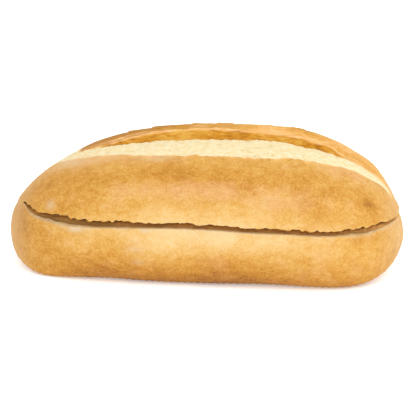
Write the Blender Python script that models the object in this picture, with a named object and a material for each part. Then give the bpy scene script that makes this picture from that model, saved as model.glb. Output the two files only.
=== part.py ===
"""Baguette roll: a short white roll, scored along the top and slit open along its front side.

The roll lies along X on its flat base, with the open side of the slit toward -Y and +Z up.
Its origin is the middle of the base. It is one body: closed cross-sections, square to X,
are joined into a skin from tip to tip, and each is a C where the slit cuts into the crumb.
"""
import math
from collections import namedtuple

import bmesh
import bpy
from mathutils import Vector, noise

MM = 0.001
TINY = 0.001 * MM
MERGE = 0.01 * MM

# Driving sizes of the whole roll
LENGTH = 160 * MM
FRONT_WIDTH = 39.6 * MM
BACK_WIDTH = 40.0 * MM
BELLY_LEVEL = 15.4 * MM
BELLY_EVEN_SHARE = 0.4
FRONT_TOP = 53.1 * MM
BACK_TOP = 56.4 * MM
BASE_FRONT = 28.3 * MM
BASE_BACK = 30.0 * MM
FLAT_SHARE = 0.6
BASE_ROOT = 1.3
FULL_DROP_SHARE = 0.5
FRONT_ROUNDNESS = 2.3
BACK_ROUNDNESS = 2.8

# How each end rounds off: a higher power is a blunter end, and top is where both sides level out
End = namedtuple("End", "plan dome root base belly top")
LEFT = End(plan=3.75, dome=1.73, root=2.1, base=8.3, belly=13.4 * MM, top=55.1 * MM)
RIGHT = End(plan=5.75, dome=3.75, root=1.44, base=9.0, belly=14.5 * MM, top=61.0 * MM)
LIFT_POWER = 3.4

# The slit in the side: level, gap, how far it reaches in, and where it closes near the tips
SLIT_LEVEL = 24.2 * MM
SLIT_HIGHEST = 0.82
SLIT_TIP_LIFT = 2.7 * MM
SLIT_LIFT_STRETCH = (-64 * MM, -74 * MM)
SLIT_GAP = 2.2 * MM
SLIT_EXTRA_GAP = 0.4 * MM
EXTRA_GAP_STRETCH = (-60 * MM, 0.0)
SLIT_LEFT = -73.5 * MM
SLIT_RIGHT = 77.5 * MM
SLIT_TAPER = 16 * MM
SLIT_ROOT = 18 * MM
SLIT_TIP_ROOT = -7 * MM
SLIT_ROOT_POWER = 4
SLIT_GAP_POWER = 0.6
ROOT_HALF_GAP = 0.1 * MM
RIM_BEVEL = 0.8 * MM
RIM_BEVEL_RISE = 0.1 * MM
UPPER_RIM_SHARE = 0.97
RIM_OVERHANG = 0.5 * MM
OVERHANG_FADE = 5 * MM

# The score along the top: a pale torn band behind the front lip, then a groove and an ear
SCORE_LEFT = -62 * MM
SCORE_MIDDLE = 10 * MM
SCORE_RIGHT = 77.3 * MM
SCORE_LEFT_POWER = 2.3
SCORE_RIGHT_POWER = 3.2
LIP_Y = -19.4 * MM
CREST_Y = -1.0 * MM
GROOVE_Y = 1.2 * MM
RIDGE_Y = 7.4 * MM
SCORE_DRIFT = 4.5 * MM
DRIFT_START = 50 * MM
LIP_STEP = 0.5 * MM
CREST_RISE = -1.4 * MM
CLOSED_CREST_LEFT = 0.64
CLOSED_CREST_RIGHT = 0.27
CLOSED_GROOVE_SHARE = 0.2
CREAM_BULGE = 0.9 * MM
GROOVE_DEPTH = 2.2 * MM
EAR_STEP = 0.2 * MM
EAR_ROLL = 1.8 * MM
EAR_ROLL_WIDTH = 5 * MM
RIGHT_EAR_WIDTH = 9 * MM
GROOVE_LEFT = (-53.7 * MM, -21.7 * MM)
GROOVE_RIGHT = (27.4 * MM, 65.9 * MM)
LEAST_LIP_SHARE = 0.02
LEAST_BAND = 0.3 * MM
LEAST_BAND_SHARE = 0.1
LEAST_UPPER_SIDE = 0.3

# Unevenness of the hand-shaped, torn and cut surfaces; a swell has a place, height and length
TOP_SWELLS = ((-43 * MM, 0.2 * MM, 9 * MM), (34 * MM, 0.5 * MM, 20 * MM), (67 * MM, 2.7 * MM, 5 * MM))
BASE_SWELLS = ((-63 * MM, 3.0 * MM, 9 * MM), (-35 * MM, -2.8 * MM, 13 * MM), (28 * MM, -3.0 * MM, 18 * MM))
SLIT_SWELLS = ((48 * MM, -1.3 * MM, 16 * MM), (-48 * MM, -0.9 * MM, 14 * MM))
LIP_SWELLS = ((-20 * MM, -1.1 * MM, 12 * MM), (8 * MM, 0.3 * MM, 9 * MM), (38 * MM, 1.5 * MM, 8 * MM))
CREST_SWELLS = ((-25 * MM, 0.55 * MM, 12 * MM), (25 * MM, 0.8 * MM, 15 * MM))
EAR_SWELLS = ((28 * MM, 1.35 * MM, 13 * MM),)
LUMP_HEIGHT = 0.5 * MM
LUMP_LENGTH = 24 * MM
CREST_TEAR = 0.5 * MM
BAND_TEAR = 0.4 * MM
TEAR_LENGTH = 7 * MM
RAGGED_RIM = 0.3 * MM
RAGGED_LENGTH = 8 * MM

# Golden crust
CRUST_COLOUR = (0.71, 0.41, 0.14, 1.0)
CRUST_ROUGHNESS = 0.55
SHARP_EDGE = math.radians(32)

# How finely the skin is divided
STATIONS = 80
ROWS = dict(base=3, underside=6, lower_side=5, cut=3, upper_side=10, cream=6, groove=2,
            wall=3, back=13, back_underside=6, back_base=3)


def smooth(start, end, value):
    """0 up to start, 1 from end on, with a smooth rise between them"""
    share = min(1.0, max(0.0, (value - start) / (end - start)))
    return share * share * (3.0 - 2.0 * share)


def mix(a, b, share):
    return a + (b - a) * share


def taper(share, power, root=2.0):
    """1 in the middle of the roll, falling to 0 at its tip, where share is 1"""
    return max(0.0, 1.0 - min(1.0, abs(share)) ** power) ** (1.0 / root)


def ripple(x, y, length, seed):
    """Smooth unevenness between about -1 and 1, with bumps about one length apart"""
    return 1.6 * noise.noise(Vector((x / length, y / length, seed)))


def smaller(a, b):
    """The smaller of two lengths, with a rounded change from one to the other"""
    return (max(a, TINY) ** -8 + max(b, TINY) ** -8) ** (-1 / 8)


def swelling(x, swells):
    """What the swells at their places along the roll add up to at x"""
    return sum(high * math.exp(-((x - at) / long) ** 2) for at, high, long in swells)


def body(x):
    """The plain loaf's measures at station x, before the score and the slit"""
    share = x / (LENGTH / 2)
    end = LEFT if x < 0 else RIGHT
    plan = taper(share, end.plan)
    dome = taper(share, end.dome, end.root)
    base = taper(share, end.base, BASE_ROOT)
    lift = taper(max(0.0, abs(share) - FLAT_SHARE) / (1.0 - FLAT_SHARE), LIFT_POWER)
    belly = mix(BELLY_LEVEL, end.belly, smooth(BELLY_EVEN_SHARE, 1.0, abs(share)))
    dropped = smooth(0.0, FULL_DROP_SHARE, score_share(x))
    front_top = mix(end.top, FRONT_TOP, dropped)
    back_top = mix(end.top, BACK_TOP, dropped) + swelling(x, TOP_SWELLS)
    base_reach = BASE_FRONT + swelling(x, BASE_SWELLS)
    lump = 1.0 + LUMP_HEIGHT / FRONT_WIDTH * ripple(x, 0.0, LUMP_LENGTH, 3.0)
    return dict(
        front=FRONT_WIDTH * plan * lump,
        back=BACK_WIDTH * plan,
        belly=belly,
        floor=belly * (1.0 - lift),
        base_front=smaller(base_reach * base, FRONT_WIDTH * plan),
        base_back=smaller(BASE_BACK * base, BACK_WIDTH * plan),
        front_height=(front_top - belly) * dome,
        back_height=(back_top - belly) * dome,
        dropped=dropped,
    )


def front_arc(b, angle):
    """Point on the front side: angle 0 is the widest place, a quarter turn is the top"""
    y = -b["front"] * math.cos(angle) ** (2.0 / FRONT_ROUNDNESS)
    return y, b["belly"] + b["front_height"] * math.sin(angle)


def back_arc(b, angle):
    y = b["back"] * math.cos(angle) ** (2.0 / BACK_ROUNDNESS)
    return y, b["belly"] + b["back_height"] * math.sin(angle)


def front_angle_at_level(b, z):
    return math.asin(min(1.0, max(0.0, (z - b["belly"]) / b["front_height"])))


def arc_angle_at_width(width, y, roundness):
    return math.acos(min(1.0, abs(y) / width) ** (roundness / 2.0))


def score_share(x):
    """How far the score is open at x: 1 in its middle, 0 at and past its two ends"""
    if x < SCORE_MIDDLE:
        reach = (SCORE_MIDDLE - x) / (SCORE_MIDDLE - SCORE_LEFT)
        return max(0.0, 1.0 - reach ** SCORE_LEFT_POWER)
    reach = (x - SCORE_MIDDLE) / (SCORE_RIGHT - SCORE_MIDDLE)
    return max(0.0, 1.0 - reach ** SCORE_RIGHT_POWER)


def score_depth(x):
    """How far the score's heights have grown at x: as score_share, with soft ends"""
    return smooth(0.0, 1.0, score_share(x))


def score_place(x, y):
    """Where a line of the score lies at x: y in its middle, drawn in and swung back at its ends"""
    return y * score_share(x) + SCORE_DRIFT * smooth(DRIFT_START, LENGTH / 2, x)


def groove_share(x):
    """1 where a groove parts the pale band from the ear, 0 where they meet"""
    return smooth(*GROOVE_LEFT, x) * (1.0 - smooth(*GROOVE_RIGHT, x))


def slit_share(x):
    """How far the slit is open at x: 0 where it closes near each tip, else up to 1"""
    reach = min(x - SLIT_LEFT, SLIT_RIGHT - x) / SLIT_TAPER
    return min(1.0, max(0.0, reach)) ** SLIT_GAP_POWER


def slit_levels(x, b):
    """Levels of the slit's lower and upper rims, kept inside the front side's height"""
    level = SLIT_LEVEL + swelling(x, SLIT_SWELLS) + SLIT_TIP_LIFT * smooth(*SLIT_LIFT_STRETCH, x)
    gap = SLIT_GAP + SLIT_EXTRA_GAP * (1.0 - smooth(*EXTRA_GAP_STRETCH, x))
    gap = slit_share(x) * (gap + RAGGED_RIM * ripple(x, 0, RAGGED_LENGTH, 9.0))
    top = b["belly"] + SLIT_HIGHEST * b["front_height"]
    low = min(level, top)
    return low, low + max(0.0, gap)


def slit_root(x):
    """How far back the slit reaches: deep in the middle, coming forward to both tips"""
    middle = (SLIT_LEFT + SLIT_RIGHT) / 2
    reach = abs(x - middle) / ((SLIT_RIGHT - SLIT_LEFT) / 2)
    return mix(SLIT_ROOT, SLIT_TIP_ROOT, min(1.0, reach) ** SLIT_ROOT_POWER)


def spaced(start, end, count):
    """Values from start to end, without the start itself"""
    return [mix(start, end, (i + 1) / count) for i in range(count)]


def underside_rows(b):
    """From the middle of the base out to the front, and up round the bottom edge"""
    rows = [(0.0, b["floor"])]
    rows += [(-y, b["floor"]) for y in spaced(0.0, b["base_front"], ROWS["base"])]
    for angle in spaced(0.0, math.pi / 2, ROWS["underside"]):
        reach = (b["front"] - b["base_front"]) * math.sin(angle)
        drop = (b["belly"] - b["floor"]) * math.cos(angle)
        rows.append((-b["base_front"] - reach, b["belly"] - drop))
    return rows


def slit_rows(x, b, low_angle, high_angle):
    """In along the lower cut face to the root, and out along the upper face"""
    low_y, low_z = front_arc(b, low_angle)
    high_y, high_z = front_arc(b, high_angle)
    opened = slit_share(x)
    if opened <= 0.0:
        return [(low_y, low_z)] * (2 * ROWS["cut"] + 2)
    root_y = mix(low_y, max(slit_root(x), low_y + RIM_BEVEL), min(1.0, 2.0 * opened))
    root_z = mix(low_z, high_z, 0.5)
    bevel = RIM_BEVEL * opened
    rows = [(low_y + bevel, low_z + RIM_BEVEL_RISE * opened)]
    for share in spaced(0.0, 1.0, ROWS["cut"])[:-1]:
        level = mix(low_z, root_z - ROOT_HALF_GAP, share)
        rows.append((mix(low_y + bevel, root_y, share), level))
    rows.append((root_y, root_z))
    for share in spaced(0.0, 1.0, ROWS["cut"])[:-1]:
        rows.append((mix(root_y, high_y, share), mix(root_z + ROOT_HALF_GAP, high_z, share)))
    rows.append((mix(root_y, high_y, UPPER_RIM_SHARE), high_z))
    rows.append((high_y - RIM_OVERHANG * opened, high_z))
    return rows


def upper_side_rows(x, b, start, end, level):
    """Front crust from the upper rim to the score's lip, a little proud of the lower half"""
    rows = []
    for angle in spaced(start, end, ROWS["upper_side"]):
        y, z = front_arc(b, angle)
        proud = RIM_OVERHANG * slit_share(x) * math.exp(-(z - level) / OVERHANG_FADE)
        rows.append((y - proud, z))
    return rows


def crest_place(x, b, lip):
    """Top edge of the pale band at x; past the groove's ends it closes against the ear"""
    crest_y = max(score_place(x, CREST_Y), lip[0] + min(LEAST_BAND, LEAST_BAND_SHARE * b["front"]))
    closed_rise = CLOSED_CREST_LEFT if x < 0 else CLOSED_CREST_RIGHT
    closed_z = mix(lip[1], b["belly"] + b["back_height"], closed_rise)
    open_z = b["belly"] + b["front_height"] + CREST_RISE + swelling(x, CREST_SWELLS)
    tear = CREST_TEAR * score_depth(x) * ripple(x, 0, TEAR_LENGTH, 5.0)
    return crest_y, mix(closed_z, open_z, groove_share(x)) + tear


def ear_place(x, b, crest):
    """Angle on the back side and level of the ear's edge, and how far that is below the arc"""
    beside = crest[0] + min(LEAST_BAND, LEAST_BAND_SHARE * b["front"])
    ridge_y = max(mix(beside, score_place(x, RIDGE_Y), groove_share(x)), LEAST_LIP_SHARE * b["back"])
    angle = arc_angle_at_width(b["back"], ridge_y, BACK_ROUNDNESS)
    arc_z = back_arc(b, angle)[1]
    open_z = arc_z - EAR_ROLL * score_depth(x) - swelling(x, EAR_SWELLS)
    ridge_z = mix(crest[1] + EAR_STEP * score_depth(x), open_z, groove_share(x))
    return angle, (ridge_y, ridge_z), arc_z - ridge_z


def score_rows(x, crest, ridge, lip):
    """Pale torn band from the lip up to its crest, the groove, and the wall of the ear"""
    opened = score_depth(x)
    parted = groove_share(x)
    rows = []
    for share in spaced(0.0, 1.0, ROWS["cream"]):
        y = mix(lip[0], crest[0], share)
        bulge = CREAM_BULGE * math.sin(math.pi * share) - LIP_STEP * (1.0 - share) ** 4
        tear = BAND_TEAR * math.sin(math.pi * share) * ripple(x, y, TEAR_LENGTH, 7.0)
        rows.append((y, mix(lip[1], crest[1], share) + opened * (bulge + tear)))
    groove_y = mix(mix(crest[0], ridge[0], CLOSED_GROOVE_SHARE), score_place(x, GROOVE_Y), parted)
    groove_z = mix(mix(crest[1], ridge[1], CLOSED_GROOVE_SHARE), crest[1] - GROOVE_DEPTH, parted)
    for share in spaced(0.0, 1.0, ROWS["groove"]):
        rows.append((mix(crest[0], groove_y, share), mix(crest[1], groove_z, share)))
    for share in spaced(0.0, 1.0, ROWS["wall"]):
        rows.append((mix(groove_y, ridge[0], share), mix(groove_z, ridge[1], share)))
    return rows


def back_rows(x, b, ridge_angle, ridge_y, ear_drop):
    """From the ear's edge over the crown and down the uncut back, to the middle of the base"""
    rows = []
    width = mix(EAR_ROLL_WIDTH if x < 0 else RIGHT_EAR_WIDTH, EAR_ROLL_WIDTH, groove_share(x))
    for angle in spaced(ridge_angle, 0.0, ROWS["back"]):
        y, z = back_arc(b, angle)
        rows.append((y, z - ear_drop * math.exp(-((y - ridge_y) / width) ** 2)))
    for angle in spaced(math.pi / 2, 0.0, ROWS["back_underside"]):
        reach = (b["back"] - b["base_back"]) * math.sin(angle)
        drop = (b["belly"] - b["floor"]) * math.cos(angle)
        rows.append((b["base_back"] + reach, b["belly"] - drop))
    rows += [(y, b["floor"]) for y in spaced(b["base_back"], 0.0, ROWS["back_base"])]
    return rows[:-1]


def section(x):
    """Closed cross-section at x as (y, z) points, clockwise from the middle of the base"""
    b = body(x)
    low, high = slit_levels(x, b)
    low_angle = front_angle_at_level(b, low)
    high_angle = front_angle_at_level(b, high)
    lip_y = score_place(x, LIP_Y) + swelling(x, LIP_SWELLS) * b["dropped"]
    lip_y = min(lip_y, -LEAST_LIP_SHARE * b["front"])
    lip_angle = arc_angle_at_width(b["front"], lip_y, FRONT_ROUNDNESS)
    lip_angle = max(lip_angle, mix(high_angle, math.pi / 2, LEAST_UPPER_SIDE))
    rows = underside_rows(b)
    rows += [front_arc(b, angle) for angle in spaced(0.0, low_angle, ROWS["lower_side"])]
    rows += slit_rows(x, b, low_angle, high_angle)
    rows += upper_side_rows(x, b, high_angle, lip_angle, high)
    lip = rows[-1]
    crest = crest_place(x, b, lip)
    ridge_angle, ridge, ear_drop = ear_place(x, b, crest)
    rows += score_rows(x, crest, ridge, lip)
    return rows + back_rows(x, b, ridge_angle, ridge[0], ear_drop)


def skin():
    """Mesh through all the sections, with a point at each tip"""
    mesh = bmesh.new()
    rings = []
    for i in range(1, STATIONS):
        x = -LENGTH / 2 * math.cos(math.pi * i / STATIONS)
        rings.append([mesh.verts.new((x, y, z)) for y, z in section(x)])
    count = len(rings[0])
    for ring, following in zip(rings, rings[1:]):
        for i in range(count):
            k = (i + 1) % count
            mesh.faces.new((ring[i], ring[k], following[k], following[i]))
    for ring, side, end in ((rings[0], -1, LEFT), (rings[-1], 1, RIGHT)):
        tip = mesh.verts.new((side * LENGTH / 2, 0.0, end.belly))
        for i in range(count):
            mesh.faces.new((ring[i], ring[(i + 1) % count], tip))
    bmesh.ops.remove_doubles(mesh, verts=mesh.verts, dist=MERGE)
    bmesh.ops.dissolve_degenerate(mesh, edges=mesh.edges, dist=MERGE)
    bmesh.ops.triangulate(mesh, faces=mesh.faces)
    bmesh.ops.recalc_face_normals(mesh, faces=mesh.faces)
    return mesh


def centre(mesh):
    """Moves the skin sideways so that the origin is the middle of its base"""
    for axis in (0, 1):
        values = [v.co[axis] for v in mesh.verts]
        offset = (min(values) + max(values)) / 2
        for v in mesh.verts:
            v.co[axis] -= offset


def crust_material():
    material = bpy.data.materials.new("crust")
    material.use_nodes = True
    shader = material.node_tree.nodes["Principled BSDF"]
    shader.inputs["Base Color"].default_value = CRUST_COLOUR
    shader.inputs["Roughness"].default_value = CRUST_ROUGHNESS
    shader.inputs["Metallic"].default_value = 0.0
    return material


def build_roll():
    mesh = skin()
    centre(mesh)
    data = bpy.data.meshes.new("roll")
    mesh.to_mesh(data)
    mesh.free()
    data.materials.append(crust_material())
    roll = bpy.data.objects.new("roll", data)
    bpy.context.scene.collection.objects.link(roll)
    data.shade_smooth()
    data.set_sharp_from_angle(angle=SHARP_EDGE)
    return roll


for leftover in list(bpy.data.objects):
    bpy.data.objects.remove(leftover)
build_roll()
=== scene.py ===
import math
from collections import namedtuple

import bmesh
import bpy
import numpy as np
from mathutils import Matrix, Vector, noise


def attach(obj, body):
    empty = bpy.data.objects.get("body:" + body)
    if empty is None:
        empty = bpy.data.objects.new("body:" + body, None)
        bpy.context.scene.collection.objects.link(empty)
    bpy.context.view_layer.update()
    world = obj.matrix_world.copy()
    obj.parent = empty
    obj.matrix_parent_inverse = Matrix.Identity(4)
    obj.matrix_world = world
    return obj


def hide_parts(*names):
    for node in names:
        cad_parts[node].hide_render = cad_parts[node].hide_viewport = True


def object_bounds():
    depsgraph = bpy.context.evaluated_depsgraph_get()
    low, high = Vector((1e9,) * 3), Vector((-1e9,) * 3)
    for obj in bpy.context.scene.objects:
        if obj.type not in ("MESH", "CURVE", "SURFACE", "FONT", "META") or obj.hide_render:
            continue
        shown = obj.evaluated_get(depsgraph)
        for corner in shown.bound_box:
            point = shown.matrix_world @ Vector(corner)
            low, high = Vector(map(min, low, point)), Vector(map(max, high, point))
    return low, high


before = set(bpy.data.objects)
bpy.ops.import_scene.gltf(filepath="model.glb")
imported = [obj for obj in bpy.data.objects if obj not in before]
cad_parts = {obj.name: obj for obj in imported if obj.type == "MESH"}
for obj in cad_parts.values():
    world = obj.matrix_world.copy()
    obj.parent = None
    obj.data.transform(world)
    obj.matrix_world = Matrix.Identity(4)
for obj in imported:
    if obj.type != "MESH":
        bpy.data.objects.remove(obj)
cad_low, cad_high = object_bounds()

# The roll
# One piece of white wheat dough, shaped by hand and baked on a mesh tray: a thin golden crust
# round a soft crumb. Closed sections square to its length are joined into one skin, tip to tip.
MM = 0.001
LENGTH = 160 * MM
HALF = LENGTH / 2
FRONT_WIDTH = 39.6 * MM
BACK_WIDTH = 40.0 * MM
BELLY_LEVEL = 15.4 * MM
BELLY_EVEN_SHARE = 0.4
FRONT_TOP = 53.1 * MM
BACK_TOP = 56.4 * MM
BASE_FRONT = 28.3 * MM
BASE_BACK = 30.0 * MM
FLAT_SHARE = 0.6
BASE_ROOT = 1.3
FRONT_ROUNDNESS = 2.3
BACK_ROUNDNESS = 2.8
LIFT_POWER = 3.4
ROUND_JOIN = 8.0
LEAST_LENGTH = 0.001 * MM

# How each end rounds off: a higher power is a blunter end, and top is where both sides level out
End = namedtuple("End", "plan dome root base belly top")
LEFT = End(plan=3.75, dome=1.73, root=2.1, base=8.3, belly=13.4 * MM, top=55.1 * MM)
RIGHT = End(plan=5.75, dome=3.75, root=1.44, base=9.0, belly=14.5 * MM, top=61.0 * MM)

# Swells of the hand-shaped dough: place along the loaf, height and length
TOP_SWELLS = ((-43 * MM, 0.2 * MM, 9 * MM), (34 * MM, 0.5 * MM, 20 * MM), (67 * MM, 2.7 * MM, 5 * MM))
BASE_SWELLS = ((-63 * MM, 3.0 * MM, 9 * MM), (-35 * MM, -2.8 * MM, 13 * MM), (28 * MM, -3.0 * MM, 18 * MM))

# Unevenness: how far apart its bumps are, the seed and the octaves of the noise behind them, and
# the value that they rise and fall from, by about as much as high says
Ripple = namedtuple("Ripple", "long seed octaves even high", defaults=[1, 0.0, 1.0])
RIPPLE_SMOOTHNESS = 0.8
RIPPLE_FINER = 2.1
RIPPLE_STRENGTH = 1.6
LUMPS = Ripple(24 * MM, 3, high=0.5 * MM / FRONT_WIDTH)

# How finely the skin is divided: stations along the loaf, and rows round each section
STATIONS = 290
STATION_POWER = 6
ROWS = dict(base=18, underside=24, lower_side=30, cut=12, upper_side=76, cream=44, groove=8,
            wall=16, back=56, back_underside=16, back_base=18)


def smooth(start, end, value):
    """0 up to start, 1 from end on, with a smooth rise between them"""
    share = np.clip((value - start) / (end - start), 0, 1)
    return share * share * (3 - 2 * share)


def mix(a, b, share):
    return a + (b - a) * share


def taper(share, power, root=2.0):
    """1 in the middle of the loaf, falling to 0 at its tip, where share is 1"""
    return np.clip(1 - np.abs(share) ** power, 0, 1) ** (1 / root)


def smaller(a, b):
    """The smaller of two lengths, with a rounded change from one to the other"""
    powers = [np.maximum(length, LEAST_LENGTH) ** -ROUND_JOIN for length in (a, b)]
    return sum(powers) ** (-1 / ROUND_JOIN)


def swelling(x, swells):
    """What the swells at their places along the loaf add up to"""
    return sum(high * np.exp(-((x - at) / long) ** 2) for at, high, long in swells)


def ripple(kind, x, y=0.0):
    """Unevenness of one kind along the loaf, or over a surface"""
    x, y = np.broadcast_arrays(x / kind.long, y / kind.long)
    places = zip(x.reshape(-1), y.reshape(-1))
    heights = [noise.fractal(Vector((u, v, kind.seed)), RIPPLE_SMOOTHNESS, RIPPLE_FINER, kind.octaves)
               for u, v in places]
    return kind.even + kind.high * (RIPPLE_STRENGTH * np.array(heights).reshape(x.shape))


def spaced(count):
    """Shares from just past 0 up to 1"""
    return (np.arange(1, count + 1) / count)[None, :]


def eased(count, start=1.0, end=1.0):
    """Shares from just past 0 up to 1, closer together at an end whose number is above 1"""
    share = spaced(count)
    rise = share ** start
    return rise / (rise + (1 - share) ** end)


# Stations along the length, close together at the rounded tips
step = np.linspace(-1, 1, STATIONS + 1)[1:-1]
x = HALF * ((STATION_POWER + 1) * step - np.sign(step) * np.abs(step) ** (STATION_POWER + 1)) / STATION_POWER
x = x[:, None]
off_middle = np.abs(x) / HALF
left = x < 0


def by_end(measure):
    return np.where(left, getattr(LEFT, measure), getattr(RIGHT, measure))


plan = taper(off_middle, by_end("plan"))
dome = taper(off_middle, by_end("dome"), by_end("root"))
base = taper(off_middle, by_end("base"), BASE_ROOT)
lift = taper(np.clip(off_middle - FLAT_SHARE, 0, None) / (1 - FLAT_SHARE), LIFT_POWER)
belly = mix(BELLY_LEVEL, by_end("belly"), smooth(BELLY_EVEN_SHARE, 1, off_middle))
floor_level = belly * (1 - lift)
front = FRONT_WIDTH * plan * (1 + ripple(LUMPS, x))
back = BACK_WIDTH * plan
base_front = smaller((BASE_FRONT + swelling(x, BASE_SWELLS)) * base, FRONT_WIDTH * plan)
base_back = smaller(BASE_BACK * base, BACK_WIDTH * plan)

# The score: a blade was drawn along the top before baking. The front crust ends there at a lip,
# the dough behind it tore open in a pale band up to a ragged crest, and past a groove stands the
# ear, the edge of the back crust.
SCORE_LEFT = -62 * MM
SCORE_MIDDLE = 10 * MM
SCORE_RIGHT = 77.3 * MM
SCORE_LEFT_POWER = 2.3
SCORE_RIGHT_POWER = 3.2
FULL_DROP_SHARE = 0.5
SCORE_DRIFT = 4.5 * MM
DRIFT_START = 50 * MM
GROOVE_LEFT = (-53.7 * MM, -21.7 * MM)
GROOVE_RIGHT = (27.4 * MM, 65.9 * MM)

reach_left = np.clip((SCORE_MIDDLE - x) / (SCORE_MIDDLE - SCORE_LEFT), 0, None)
reach_right = np.clip((x - SCORE_MIDDLE) / (SCORE_RIGHT - SCORE_MIDDLE), 0, None)
closing = np.where(x < SCORE_MIDDLE, reach_left ** SCORE_LEFT_POWER, reach_right ** SCORE_RIGHT_POWER)
score = np.clip(1 - closing, 0, 1)
score_depth = smooth(0, 1, score)
parted = smooth(*GROOVE_LEFT, x) * (1 - smooth(*GROOVE_RIGHT, x))
drift = SCORE_DRIFT * smooth(DRIFT_START, HALF, x)
dropped = smooth(0, FULL_DROP_SHARE, score)
front_height = (mix(by_end("top"), FRONT_TOP, dropped) - belly) * dome
back_height = (mix(by_end("top"), BACK_TOP, dropped) + swelling(x, TOP_SWELLS) - belly) * dome


def front_arc(angle):
    """Front side of every section: angle 0 is the widest place, a quarter turn is the top"""
    y = -front * np.clip(np.cos(angle), 0, 1) ** (2 / FRONT_ROUNDNESS)
    return y, belly + front_height * np.sin(angle)


def back_arc(angle):
    y = back * np.clip(np.cos(angle), 0, 1) ** (2 / BACK_ROUNDNESS)
    return y, belly + back_height * np.sin(angle)


def angle_at_level(level):
    return np.arcsin(np.clip((level - belly) / front_height, 0, 1))


def angle_at_width(width, y, roundness):
    return np.arccos(np.clip(np.abs(y) / width, 0, 1) ** (roundness / 2))


# Rows of the skin from the middle of the base round the front, over the top and down the back
bands = []


def band(name, y, z):
    y, z = np.broadcast_arrays(y, z)
    bands.append((name, y, z))


band("base", -base_front * np.concatenate([[0.0], spaced(ROWS["base"])[0]])[None, :], floor_level)
turn = spaced(ROWS["underside"]) * math.pi / 2
rounding_y = -base_front - (front - base_front) * np.sin(turn)
band("underside", rounding_y, belly - (belly - floor_level) * np.cos(turn))

# The slit: the roll was opened with a knife after baking, along its front side and in to a hinge
# at the back. The knife left a pale bevelled rim below and tore the crust above into small tags.
SLIT_LEVEL = 24.2 * MM
SLIT_HIGHEST = 0.97
SLIT_SWELLS = ((68 * MM, -0.75 * MM, 5.5 * MM), (56 * MM, -1.5 * MM, 20 * MM), (25 * MM, -0.6 * MM, 12 * MM),
               (-28 * MM, -0.48 * MM, 15 * MM), (-52 * MM, -1.5 * MM, 18 * MM))
SLIT_TIP_LIFT = 3.3 * MM
SLIT_LIFT_STRETCH = (-65 * MM, -72.8 * MM)
SLIT_GAP = 2.1 * MM
GAP_SWELLS = ((-67 * MM, 0.55 * MM, 3.5 * MM), (-54 * MM, 1.5 * MM, 12 * MM), (-31 * MM, 0.65 * MM, 14 * MM),
              (-4 * MM, 0.35 * MM, 6 * MM), (10 * MM, 0.4 * MM, 7 * MM), (11 * MM, -0.75 * MM, 1.6 * MM),
              (34 * MM, 0.25 * MM, 8 * MM), (68 * MM, 1.0 * MM, 9 * MM))
SLIT_CLOSES = 2.6 * MM
SLIT_LEFT = -71.8 * MM
SLIT_RIGHT = 77.9 * MM
SLIT_TAPER_LEFT = 5 * MM
SLIT_TAPER_RIGHT = 6 * MM
SLIT_GAP_POWER = 0.6
SLIT_ROOT = 18 * MM
SLIT_TIP_ROOT = -7 * MM
SLIT_ROOT_POWER = 4
ROOT_OPENS_BY = 0.5
ROOT_HALF_GAP = 0.1 * MM
CUT_EASE = 2.0
RIM_RAGS = Ripple(8 * MM, 9, high=0.30 * MM)
RIM_TAGS = Ripple(2.8 * MM, 21, 3, high=0.54 * MM)
LARGE_TAGS = ((-59.8 * MM, 0.45 * MM, 1.1 * MM), (-54.9 * MM, 0.35 * MM, 1.4 * MM),
              (-50.3 * MM, 0.6 * MM, 1.1 * MM), (-42.9 * MM, 0.45 * MM, 1.5 * MM),
              (-27 * MM, 0.4 * MM, 2.2 * MM))
RIM_BEVEL = 0.8 * MM
RIM_BEVEL_RISE = 0.35 * MM
BEVEL_ROWS = np.array([[0.35, 0.7, 1.0]])
BEVEL_SWELLS = ((-60 * MM, 0.75 * MM, 14 * MM), (67 * MM, 0.45 * MM, 9 * MM))
BEVEL_WANDER = Ripple(4 * MM, 23, 2, even=1.0, high=0.25)
RIM_OVERHANG = 0.5 * MM
OVERHANG_ROWS = np.array([[-1.2, 0.4, 1.0]])

slit = np.minimum((x - SLIT_LEFT) / SLIT_TAPER_LEFT, (SLIT_RIGHT - x) / SLIT_TAPER_RIGHT)
slit = np.clip(slit, 0, 1) ** SLIT_GAP_POWER
gap = SLIT_GAP + swelling(x, GAP_SWELLS) + swelling(x, LARGE_TAGS)
gap = gap + ripple(RIM_RAGS, x) + ripple(RIM_TAGS, x)
low = SLIT_LEVEL + swelling(x, SLIT_SWELLS) + SLIT_TIP_LIFT * smooth(*SLIT_LIFT_STRETCH, x)
low = np.minimum(low, belly + SLIT_HIGHEST * front_height)
low_angle = angle_at_level(low)
high_angle = angle_at_level(low + np.maximum(slit * gap, 0))
y, z = front_arc(low_angle * spaced(ROWS["lower_side"]))
band("lower_side", y, z)
low_y, low_z = y[:, -1:], z[:, -1:]
high_y, high_z = front_arc(high_angle)
slit_middle = (SLIT_LEFT + SLIT_RIGHT) / 2
along_slit = np.clip(np.abs(x - slit_middle) / ((SLIT_RIGHT - SLIT_LEFT) / 2), 0, 1)
root_y = mix(SLIT_ROOT, SLIT_TIP_ROOT, along_slit ** SLIT_ROOT_POWER)
root_y = mix(low_y, np.maximum(root_y, low_y + RIM_BEVEL), np.clip(slit / ROOT_OPENS_BY, 0, 1))
root_z = (low_z + high_z) / 2
bevelled = slit * ripple(BEVEL_WANDER, x)
bevel_y = low_y + bevelled * (RIM_BEVEL + swelling(x, BEVEL_SWELLS))
bevel_z = low_z + bevelled * (RIM_BEVEL_RISE + swelling(x, BEVEL_SWELLS))
band("bevel", mix(low_y, bevel_y, BEVEL_ROWS), mix(low_z, bevel_z, np.sin(BEVEL_ROWS * math.pi / 2)))
y = mix(bevel_y, root_y, eased(ROWS["cut"], start=CUT_EASE)[:, :-1])
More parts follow.
